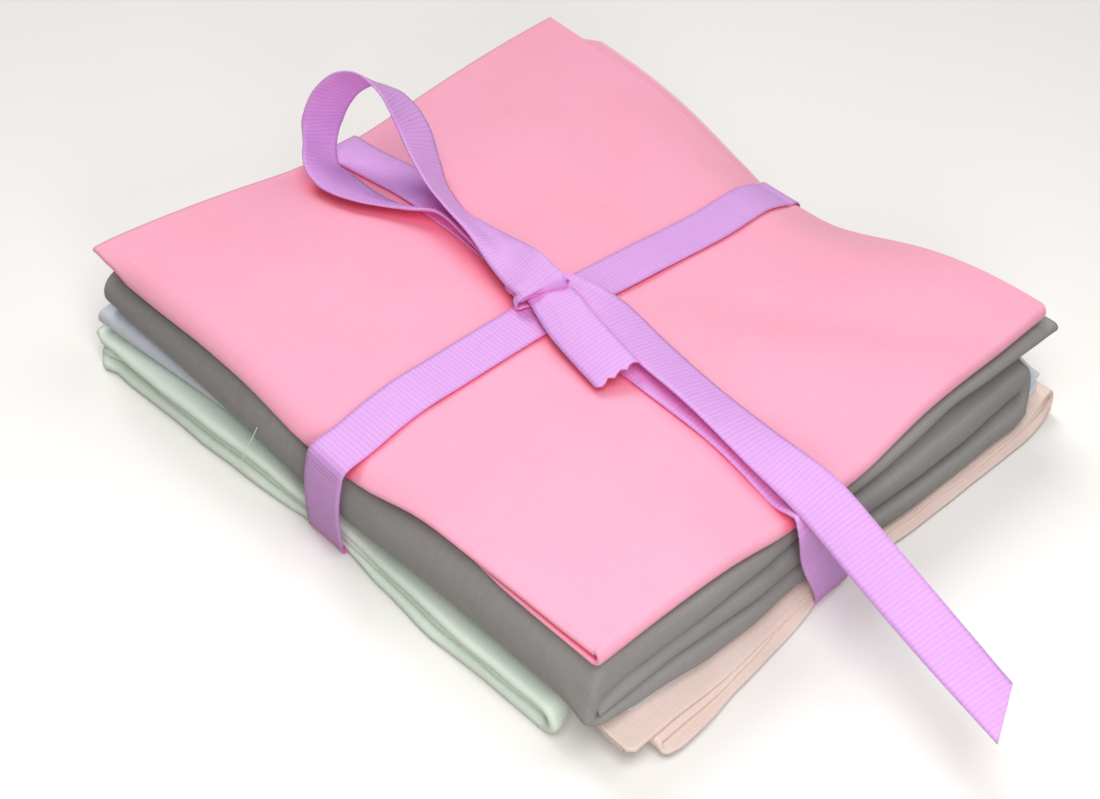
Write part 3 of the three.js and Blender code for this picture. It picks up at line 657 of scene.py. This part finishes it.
pinkFold = {
    "piece": "pink_cloth", "node": "fat_quarter_pink",
    "run": "x", "wrap": 1, "base": 27.05, "sheet": 1.2, "low": -76.4, "high": 76.2, "skew": 0,
    "freeEnd": 0, "tuckShort": -0.4,
    "ridge": "near", "thick": 0.24, "edgeIn": (0.8, 0.3), "drawn": 0, "seed": 57, "uneven": 0.2,
    "waveLength": 83,
    "near": {
        "bottom": [(-76, -66.5), (20, -66.5), (36, -68.2), (50, -69.6), (76, -69.6)],
        "middle": [(-76, -66), (20, -66), (50, -68.5), (76, -68.5)],
        "top": [(-76, -70.8), (-30, -70.4), (20, -70), (76, -69.2)],
    },
    "far": {
        "bottom": [(-76, 68), (76, 68.5)],
        "middle": [
            (-76, 67), (-66, 67.4), (-63.8, 73.4), (-40, 73), (-8, 73), (-4, 71), (0, 69.4), (12, 69),
            (76, 69),
        ],
        "top": [(-76, 69.1), (-67, 68.6), (-60, 68.1), (-12, 68.7), (0, 70), (76, 70.5)],
    },
    "pulls": [],
    "rolls": [
        {
            "layer": "top", "towards": -1, "start": 65,
            "radius": [(-77, 60), (-73, 14), (-66, 6.2), (6, 5.8), (36, 9.5), (76, 10.5)],
        },
        {"layer": "middle", "towards": 1, "start": 68, "radius": [(-76, 20), (76, 20)]},
    ],
}
pinkFinish = {
    "name": "pink_cotton", "light": (255, 178, 206), "dark": (253, 170, 199), "hollowShade": (242, 148, 182),
    "patch": (255, 183, 212),
    "threadPitch": 0.4, "mottleScale": 38, "mottle": 0.5, "gapShade": 0.2, "bump": 0.35, "sheen": 0.3,
    "selvage": {
        "across": 276.5, "half": 4.6, "end": 151, "colour": (255, 197, 221),
        "holesIn": 2.4, "holeSize": 0.5, "holePitch": 2.1, "hole": (236, 140, 176),
    },
    # Painted shade, a deeper and redder pink, where the ribbon or a fold lies close.
    "closeShade": {
        "reach": 9, "samples": 8, "closed": 0.4, "open": 0.9, "share": 0.85, "colour": (255, 112, 142),
    },
}
makeCloth(pinkFold, pinkFinish)


# The ribbon: one length, tied round both ways, with its ribs along every strip.
tie = {
    "width": 10.5, "thick": 0.42, "clear": 0.4, "cells": 10, "curveSteps": 24,
    "ribPitch": 1.03, "ribHeight": 0.04, "stepsPerRib": 4,
    "slant": 7.5, "teeth": 6.5, "toothDepth": 1.4, "trimReach": 3, "pleats": 1.5, "pleatDepth": 0.9,
    "knotArch": 0.25, "shortArch": 0.5, "longArch": 0.25,
    "longBand": {"rows": 18, "reach": 65, "start": 7}, "crossBand": {"rows": 20, "reach": 71, "start": 9},
}
# Where the bands lie across the top: the long band's x by y, the cross band's y by x, and how far the cross
# band is gathered by x.
longBandCourse = [(-66, 4.0), (0, 4.2), (40, 4.2), (66, 2.6)]
crossBandCourse = [
    (-78, -1.5), (-62, -1.8), (-45, -3.4), (-30, -6.2), (-20, -7.4), (0, -7.6), (30, -9), (60, -10.2),
    (77, -11),
]
crossBandWidth = [(-44, 1), (-36, 0.85), (-28, 0.55), (-8, 0.5), (10, 0.65), (24, 1)]
# The bands' ways over the edges and under the stack.
longBandSides = [
    (2.3, 67.6, 19.5), (2.1, 69.6, 18.9), (1.9, 71.3, 17.7), (1.8, 72.3, 15.6), (1.8, 72.6, 12),
    (1.8, 71.2, 7), (2, 69, 2.0), (2, 67.2, 0.4), (2, 63, 0.36), (2, 54, 0.36), (2, -58, 0.36),
    (2, -66, 0.36), (1.8, -69.2, 0.4), (1.6, -70.8, 0.8), (2.0, -71.7, 2.8), (2.8, -72.6, 7),
    (3.2, -73.2, 12), (3.4, -73.3, 17), (3.6, -72.7, 22.5), (3.8, -71.6, 26.2),
]
crossBandSides = [
    (76.8, -11, 27.6), (78.8, -11.6, 25), (79.8, -9.6, 16), (81.6, -6.2, 7), (81.9, -5.2, 3.4),
    (81.2, -4.9, 1), (78, -4.9, 0.36), (68, -4.6, 0.36), (-62, -1.7, 0.36), (-71, -1.7, 0.36),
    (-74.6, -1.6, 0.5), (-76.6, -1.5, 2.4), (-76.8, -1.5, 8), (-77, -1.5, 15), (-78, -1.5, 20),
    (-77.6, -1.5, 23.2),
]
# The bow: places, and the direction of the ribbon's width; a width shorter than 1 is gathered into pleats.
loopRoute = [
    ((0.5, -11.0, 33.4), (0.5, 0.82, 0.25)), ((2.4, -11.6, 34.3), (0.5, 0.82, 0.25)),
    ((2.4, -11.6, 35.4), (0.5, 0.82, 0.25)), ((0.2, -11.5, 36.2), (0.4, 0.85, 0.3)),
    ((-4.1, -10.9, 36.1), (0.22, 0.85, 0.46)), ((-10.3, -9.6, 35.5), (0.04, 0.88, 0.2)),
    ((-16.6, -8.3, 35.1), (-0.14, 0.82, -0.15)), ((-22.6, -7.5, 34.9), (-0.22, 0.7, -0.31)),
    ((-30.3, -6.6, 34.8), (-0.39, 0.72, -0.57)), ((-34.4, -6.0, 35.2), (-0.38, 0.74, -0.56)),
    ((-39.9, -4.4, 36.2), (-0.3, 0.8, -0.52)), ((-45.3, -2.3, 38.2), (-0.1, 0.87, -0.46)),
    ((-51.3, -0.2, 41.9), (0.0, 0.91, -0.4)), ((-55.5, -0.2, 45.4), (-0.08, 0.88, -0.46)),
    ((-59.6, -1.2, 48.2), (-0.16, 0.8, -0.57)), ((-64.6, -2.8, 49.4), (-0.14, 0.7, -0.68)),
    ((-68.6, -4.8, 47.4), (-0.04, 0.6, -0.78)), ((-71.6, -6.9, 43.0), (0.06, 0.56, -0.82)),
    ((-73.2, -8.3, 38.0), (0.13, 0.6, -0.78)), ((-73.6, -9.2, 33.8), (0.16, 0.72, -0.67)),
    ((-72.2, -10.9, 30.2), (0.08, 0.84, -0.54)), ((-68.6, -13.2, 28.3), (-0.04, 0.93, -0.36)),
    ((-63.2, -14.6, 28.3), (-0.26, 0.93, -0.22)), ((-57.4, -15.2, 29.0), (-0.34, 0.82, -0.2)),
    ((-51.2, -14.9, 29.8), (-0.28, 0.72, -0.3)), ((-46.3, -13.6, 30.4), (-0.24, 0.6, -0.34)),
    ((-40, -11.1, 31.4), (-0.3, 0.5, -0.4)), ((-33.8, -8.2, 32.3), (-0.3, 0.4, -0.44)),
    ((-24.1, -8.2, 32.0), (-0.2, 0.36, -0.28)), ((-12.6, -9.6, 31.9), (-0.05, 0.4, -0.12)),
    ((-2, -9.2, 31.9), (0, 0.5, 0)), ((5, -8.6, 31.8), (0, 0.6, 0)),
]
# The turn of ribbon that wraps the knot, across the bow.
knotRoute = [
    ((-1.6, -12.6, 31.6), (0.6, -0.4, 0)), ((-2.4, -15.4, 32.2), (0.62, -0.36, 0.1)),
    ((-2.2, -14.9, 34.0), (0.66, -0.34, 0)), ((-1.2, -11.0, 35.2), (0.68, -0.28, 0)),
    ((-0.6, -7.0, 34.9), (0.7, -0.1, 0)), ((-0.8, -4.9, 33.6), (0.72, 0.1, 0)),
    ((-1.0, -5.8, 32.2), (0.72, 0.1, 0)),
]
shortTailRoute = [
    ((-3, -9.8, 33.4), (0.3, 0.6, 0.1)), ((3, -10.8, 34.3), (0.33, 0.78, 0.2)),
    ((8, -12.3, 34.7), (0.3, 0.88, 0.3)), ((13, -14.0, 34.6), (0.27, 0.9, 0.33)),
    ((20.5, -15.7, 34.3), (0.25, 0.9, 0.33)), ((30.6, -17.4, 33.7), (0.25, 0.92, 0.3)),
]
longTailRoute = [
    ((-4, -6, 32.6), (0.1, 0.5, 0)), ((3, -5.2, 33.0), (0.25, 0.5, 0.2)),
    ((9, -4.7, 33.2), (0.25, 0.72, 0.15)), ((16, -4.4, 33.0), (0.15, 1, -0.1)),
    ((30, -6.2, 32.6), (0.1, 1, -0.2)), ((46, -8.2, 32.8), (0.1, 1, -0.25)),
    ((62, -9.7, 32.0), (0.14, 1, 0)), ((77, -10.6, 30.6), (0.18, 0.9, 0.4)),
    ((94, -13.0, 26.9), (0.19, 0.88, 0.45)), ((112, -15.9, 23.6), (0.17, 0.95, 0.3)),
    ((133, -19.7, 21.1), (0.16, 1, 0.1)),
]


def between(first, second, low, high, spot):
    return (high - spot) / (high - low) * first + (spot - low) / (high - low) * second


def smoothLine(rows, closed):
    # A curve through the rows, with its speed set by the neighbours on each side.
    rows = np.asarray(rows, dtype=float)
    if closed:
        padded = np.concatenate([rows[-1:], rows, rows[:2]])
    else:
        padded = np.concatenate([2 * rows[:1] - rows[1:2], rows, 2 * rows[-1:] - rows[-2:-1]])
    share = np.linspace(0, 1, tie["curveSteps"], endpoint=False)[:, None]
    made = []
    for index in range(len(padded) - 3):
        four = padded[index:index + 4]
        before, start, end, after = four
        steps = [np.linalg.norm(step[:3]) ** 0.5 for step in np.diff(four, axis=0)]
        k0, k1, k2, k3 = np.cumsum([0] + steps)
        spot = k1 + (k2 - k1) * share
        arriving = between(before, start, k0, k1, spot)
        passing = between(start, end, k1, k2, spot)
        leaving = between(end, after, k2, k3, spot)
        first = between(arriving, passing, k0, k2, spot)
        second = between(passing, leaving, k1, k3, spot)
        made.append(between(first, second, k1, k2, spot))
    made.append(rows[:1] if closed else rows[-1:])
    return np.concatenate(made)


def resample(line, spacing):
    lengths = lengthsOf(line)
    spots = np.linspace(0, lengths[-1], round(lengths[-1] / spacing) + 1)
    return np.stack([np.interp(spots, lengths, column) for column in line.T], axis=1), spots


def ribbonStrip(rows, closed=False, endTrim=None, arch=0.0):
    # Rows of place and width direction become a strip; endTrim shortens its end across the width.
    line = smoothLine([(*place, *width) for place, width in rows], closed)
    fine, spots = resample(line, tie["ribPitch"] / tie["stepsPerRib"])
    places, widths = fine[:, :3], fine[:, 3:]
    ahead = np.gradient(places, axis=0)
    if closed:
        ahead[0] = ahead[-1] = places[1] - places[-2]
    ahead /= np.linalg.norm(ahead, axis=1)[:, None]
    scale = np.minimum(np.linalg.norm(widths, axis=1), 1)
    widths = widths - ahead * np.sum(widths * ahead, axis=1)[:, None]
    widths /= np.linalg.norm(widths, axis=1)[:, None]
    faces = np.cross(ahead, widths)
    shares = np.linspace(-0.5, 0.5, tie["cells"] + 1)
    points = places[:, None] + widths[:, None] * (scale[:, None] * shares * tie["width"])[:, :, None]
    pleats = tie["pleatDepth"] * (1 - scale)[:, None] * np.cos(2 * math.pi * tie["pleats"] * shares)
    points = points + faces[:, None] * (pleats - arch * (2 * shares) ** 2)[:, :, None]
    along = np.repeat(spots[:, None], len(shares), axis=1)
    if endTrim is not None:
        cut = endTrim(shares)
        trim = cut * ease(spots, spots[-1] - tie["trimReach"] * np.max(cut), spots[-1])[:, None]
        points = points - ahead[:, None] * trim[:, :, None]
        along = along - trim
    return points, along, shares * tie["width"]


def topOf(x, y):
    heights = settle(np.array([x], dtype=float), np.array([y], dtype=float), np.array([settling["height"]]))
    return float(heights[0]) + tie["clear"] + tie["thick"] / 2


def longBandRow(y):
    x = float(np.interp(y, *zip(*longBandCourse)))
    return ((x, y, topOf(x, y)), (1, 0, 0))


def crossBandRow(x):
    y = float(np.interp(x, *zip(*crossBandCourse)))
    return ((x, y, topOf(x, y)), (0, float(np.interp(x, *zip(*crossBandWidth))), 0))


def slanted(shares):
    return tie["slant"] * (shares + 0.5)


def pinked(shares):
    return tie["toothDepth"] * np.abs(((shares + 0.5) * tie["teeth"]) % 1 - 0.5) * 2


def bandRound(band, rowAt, sides, width):
    # A band that runs round starts under the knot, so that its joint is hidden.
    rows = [rowAt(place) for place in np.linspace(-band["reach"], band["reach"], band["rows"])]
    rows += [(place, width) for place in sides]
    return ribbonStrip(rows[band["start"]:] + rows[:band["start"]], closed=True)


def strips():
    return [
        bandRound(tie["longBand"], longBandRow, longBandSides, (1, 0, 0)),
        bandRound(tie["crossBand"], crossBandRow, crossBandSides, (0, 1, 0)),
        ribbonStrip(loopRoute),
        ribbonStrip(knotRoute, arch=tie["knotArch"]),
        ribbonStrip(shortTailRoute, endTrim=pinked, arch=tie["shortArch"]),
        ribbonStrip(longTailRoute, endTrim=slanted, arch=tie["longArch"]),
    ]


def newTree(name, sizes):
    # A Geometry Nodes tree with a named input for each size.
    tree = bpy.data.node_groups.new(name, "GeometryNodeTree")
    tree.interface.new_socket("Geometry", in_out="INPUT", socket_type="NodeSocketGeometry")
    identifiers = []
    for size in sizes:
        socket = tree.interface.new_socket(size, in_out="INPUT", socket_type="NodeSocketFloat")
        identifiers.append(socket.identifier)
    tree.interface.new_socket("Geometry", in_out="OUTPUT", socket_type="NodeSocketGeometry")
    return tree, tree.nodes.new("NodeGroupInput").outputs, identifiers


def endTree(tree, geometry, material):
    real = tree.nodes.new("GeometryNodeRealizeInstances")
    finish = tree.nodes.new("GeometryNodeSetMaterial")
    finish.inputs["Material"].default_value = material
    tree.links.new(geometry, real.inputs[0])
    tree.links.new(real.outputs[0], finish.inputs["Geometry"])
    tree.links.new(finish.outputs[0], tree.nodes.new("NodeGroupOutput").inputs[0])


def ribsTree(material):
    # Raises the ribs along a strip's own length.
    tree, given, identifiers = newTree("ribbon ribs", ["Rib Pitch", "Rib Height"])
    length = tree.nodes.new("GeometryNodeInputNamedAttribute")
    length.data_type = "FLOAT"
    length.inputs["Name"].default_value = "ribLength"
    turns = addMath(tree, "DIVIDE", length.outputs["Attribute"], given["Rib Pitch"])
    wave = addMath(tree, "SINE", addMath(tree, "MULTIPLY", turns, 2 * math.pi))
    rise = addMath(tree, "MULTIPLY", wave, given["Rib Height"])
    normal = tree.nodes.new("GeometryNodeInputNormal")
    offset = tree.nodes.new("ShaderNodeVectorMath")
    offset.operation = "SCALE"
    tree.links.new(normal.outputs[0], offset.inputs[0])
    tree.links.new(rise, offset.inputs["Scale"])
    moved = tree.nodes.new("GeometryNodeSetPosition")
    tree.links.new(given["Geometry"], moved.inputs["Geometry"])
    tree.links.new(offset.outputs[0], moved.inputs["Offset"])
    endTree(tree, moved.outputs[0], material)
    return tree, identifiers


ribbonFinish = {
    "name": "lilac_ribbon", "light": (230, 176, 245), "dark": (221, 165, 238), "groove": (203, 146, 224),
    "grooveFrom": (-1, 0.2), "grooveShade": 0.4, "threadPitch": 0.24, "bump": 0.35, "depth": 0.04,
    "dullFrom": (0.2, 0.8), "dull": (0.42, 0.6), "sheen": 0.15, "sheenRoughness": 0.35,
    # Painted shade, a pinker tint, where the ribbon lies close to itself or to the cloth.
    "closeShade": {
        "reach": 7, "samples": 8, "closed": 0.25, "open": 0.85, "share": 0.75, "colour": (246, 128, 200),
    },
}


def ribbonMaterial(finish):
    material, tree, shader = newMaterial(finish["name"])
    flat, weave, threads = wovenThreads(tree, finish)
    split = tree.nodes.new("ShaderNodeSeparateXYZ")
    tree.links.new(flat, split.inputs[0])
    turns = addMath(tree, "MULTIPLY", split.outputs["Y"], 2 * math.pi / (tie["ribPitch"] * mm))
    # Painted shade: the grooves between the ribs are painted darker.
    grooveShare = remap(tree, addMath(tree, "SINE", turns), *finish["grooveFrom"], finish["grooveShade"], 0)
    grooved = mixColours(tree, grooveShare, threads, linear(finish["groove"]))
    # The ribbon's colour gets painted shade where other parts lie close.
    tree.links.new(paintCloseShade(tree, grooved, finish["closeShade"]), shader.inputs["Base Color"])
    dull = remap(tree, weave["Streak"], *finish["dullFrom"], *finish["dull"])
    tree.links.new(dull, shader.inputs["Roughness"])
    raiseThreads(tree, shader, weave["Height"], finish["bump"], finish["depth"])
    shader.inputs["Sheen Weight"].default_value = finish["sheen"]
    shader.inputs["Sheen Roughness"].default_value = finish["sheenRoughness"]
    return material


def makeRibbon():
    points, quads, flats, ribs = [], [], [], []
    length, start = 0.0, 0
    for places, along, across in strips():
        rows, columns = places.shape[:2]
        quads.append(gridQuads(rows, columns, start))
        points.append(places.reshape(-1, 3))
        onward = along + length
        flats.append(np.stack([np.repeat(across[None], rows, axis=0), onward], axis=-1).reshape(-1, 2))
        ribs.append(onward.ravel())
        length += float(along.max())
        start += rows * columns
    piece = sheetObject("ribbon_tie", np.concatenate(points), np.concatenate(quads), np.concatenate(flats))
    ribLength = piece.data.attributes.new("ribLength", "FLOAT", "POINT")
    ribLength.data.foreach_set("value", (np.concatenate(ribs) * mm).astype(np.float32))
    tree, (pitchInput, heightInput) = ribsTree(ribbonMaterial(ribbonFinish))
    ribModifier = piece.modifiers.new("ribs", "NODES")
    ribModifier.node_group = tree
    ribModifier[pitchInput] = tie["ribPitch"] * mm
    ribModifier[heightInput] = tie["ribHeight"] * mm
    thicken(piece, tie["thick"])
    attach(piece, "root")
    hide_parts("ribbon")
    print("ribbon tied:", round(length), "mm,", len(piece.data.polygons), "faces")


makeRibbon()


# A stray thread that hangs from the grey cloth over the mint one.
strayThread = {
    "thick": 0.22, "sides": 8, "steps": 24,
    "route": [
        (-18.9, -71.9, 18.4), (-19.9, -72.3, 15.6), (-20.9, -73.0, 12.6), (-21.6, -74.2, 9.2),
        (-21.8, -74.7, 7.2), (-22.2, -74.6, 5.4),
    ],
}


def threadTree(material):
    # Lays a round thread along a line of points.
    tree, given, identifiers = newTree("loose thread", ["Radius"])
    line = tree.nodes.new("GeometryNodeMeshToCurve")
    smooth = tree.nodes.new("GeometryNodeCurveSplineType")
    smooth.spline_type = "CATMULL_ROM"
    even = tree.nodes.new("GeometryNodeResampleCurve")
    even.inputs["Count"].default_value = strayThread["steps"]
    ring = tree.nodes.new("GeometryNodeCurvePrimitiveCircle")
    ring.inputs["Resolution"].default_value = strayThread["sides"]
    tube = tree.nodes.new("GeometryNodeCurveToMesh")
    tube.inputs["Fill Caps"].default_value = True
    tree.links.new(given["Geometry"], line.inputs[0])
    tree.links.new(given["Radius"], ring.inputs["Radius"])
    tree.links.new(line.outputs[0], smooth.inputs[0])
    tree.links.new(smooth.outputs[0], even.inputs[0])
    tree.links.new(even.outputs[0], tube.inputs["Curve"])
    tree.links.new(ring.outputs[0], tube.inputs["Profile Curve"])
    endTree(tree, tube.outputs[0], material)
    return tree, identifiers


def makeThread():
    route = strayThread["route"]
    mesh = bpy.data.meshes.new("thread")
    mesh.from_pydata((np.array(route) * mm).tolist(), [(i, i + 1) for i in range(len(route) - 1)], [])
    piece = bpy.data.objects.new("thread", mesh)
    bpy.context.scene.collection.objects.link(piece)
    tree, (radiusInput,) = threadTree(mintCloth.data.materials[0])
    laid = piece.modifiers.new("thread", "NODES")
    laid.node_group = tree
    laid[radiusInput] = strayThread["thick"] / 2 * mm
    plainMesh(piece)
    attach(piece, "root")
    print("thread laid:", len(piece.data.polygons), "faces")


makeThread()


# The room: a pale floor, soft light and the photograph's camera.
view = {
    "azimuth": 42.712, "elevation": 44.327, "distance": 401.14, "target": (2.662, -7.341, 0.0),
    "roll": 0.066, "focalPixels": 1777.28, "imageWidth": 1100, "sensor": 36.0, "clip": 10,
}
floorPaint = {
    "seen": (254, 254, 254), "bounce": (182, 174, 168), "roughness": 0.9, "specular": 0.1, "reach": 8000,
}
light = {
    "world": 0.12, "colour": (255, 252, 248),
    "key": {"kind": "SUN", "place": (160, 560, 820), "angle": 36, "power": 0.5},
    "side": {"kind": "SUN", "place": (-420, 120, 520), "angle": 30, "power": 1.36},
    "fill": {"kind": "AREA", "place": (140, -150, 430), "size": 300, "power": 0.98},
    "low": {"kind": "AREA", "place": (320, -220, 190), "size": 200, "power": 0.54},
}


def makeCamera():
    azimuth, elevation = math.radians(view["azimuth"]), math.radians(view["elevation"])
    level = math.cos(elevation)
    back = Vector((math.sin(azimuth) * level, -math.cos(azimuth) * level, math.sin(elevation)))
    right = (-back).cross(Vector((0, 0, 1))).normalized()
    up = right.cross(-back)
    cosine, sine = math.cos(view["roll"]), math.sin(view["roll"])
    turned = Matrix((right * cosine + up * sine, up * cosine - right * sine, back)).transposed().to_4x4()
    place = (Vector(view["target"]) + back * view["distance"]) * mm
    data = bpy.data.cameras.new("camera")
    data.sensor_width = view["sensor"]
    data.lens = view["focalPixels"] * view["sensor"] / view["imageWidth"]
    data.clip_start = view["clip"] * mm
    camera = bpy.data.objects.new("camera", data)
    camera.matrix_world = Matrix.Translation(place) @ turned
    bpy.context.scene.collection.objects.link(camera)
    bpy.context.scene.camera = camera


def makeLight(name, lamp):
    data = bpy.data.lights.new(name, lamp["kind"])
    if lamp["kind"] == "SUN":
        data.angle = math.radians(lamp["angle"])
    else:
        data.shape = "DISK"
        data.size = lamp["size"] * mm
    data.energy = lamp["power"]
    data.color = linear(light["colour"])[:3]
    lampObject = bpy.data.objects.new(name, data)
    lampObject.location = Vector(lamp["place"]) * mm
    lampObject.rotation_euler = (-Vector(lamp["place"])).to_track_quat("-Z", "Y").to_euler()
    bpy.context.scene.collection.objects.link(lampObject)


def makeFloor():
    material, tree, shader = newMaterial("pale_floor")
    # White where it is seen, and duller where it throws light back at the cloth.
    path = tree.nodes.new("ShaderNodeLightPath")
    bounce, seen = linear(floorPaint["bounce"]), linear(floorPaint["seen"])
    colour = mixColours(tree, path.outputs["Is Camera Ray"], bounce, seen)
    tree.links.new(colour, shader.inputs["Base Color"])
    shader.inputs["Roughness"].default_value = floorPaint["roughness"]
    shader.inputs["Specular IOR Level"].default_value = floorPaint["specular"]
    reach = floorPaint["reach"] * mm
    corners = [(-reach, -reach, 0), (reach, -reach, 0), (reach, reach, 0), (-reach, reach, 0)]
    mesh = bpy.data.meshes.new("floor")
    mesh.from_pydata(corners, [], [(0, 1, 2, 3)])
    mesh.materials.append(material)
    floor = bpy.data.objects.new("floor", mesh)
    bpy.context.scene.collection.objects.link(floor)


def makeWorld():
    world = bpy.data.worlds.new("studio")
    world.use_nodes = True
    sky = world.node_tree.nodes["Background"]
    sky.inputs["Color"].default_value = (1, 1, 1, 1)
    sky.inputs["Strength"].default_value = light["world"]
    bpy.context.scene.world = world
    bpy.context.scene.view_settings.view_transform = "Standard"


makeCamera()
for lampName in ("key", "side", "fill", "low"):
    makeLight(lampName, light[lampName])
makeFloor()
makeWorld()
print("room lit")
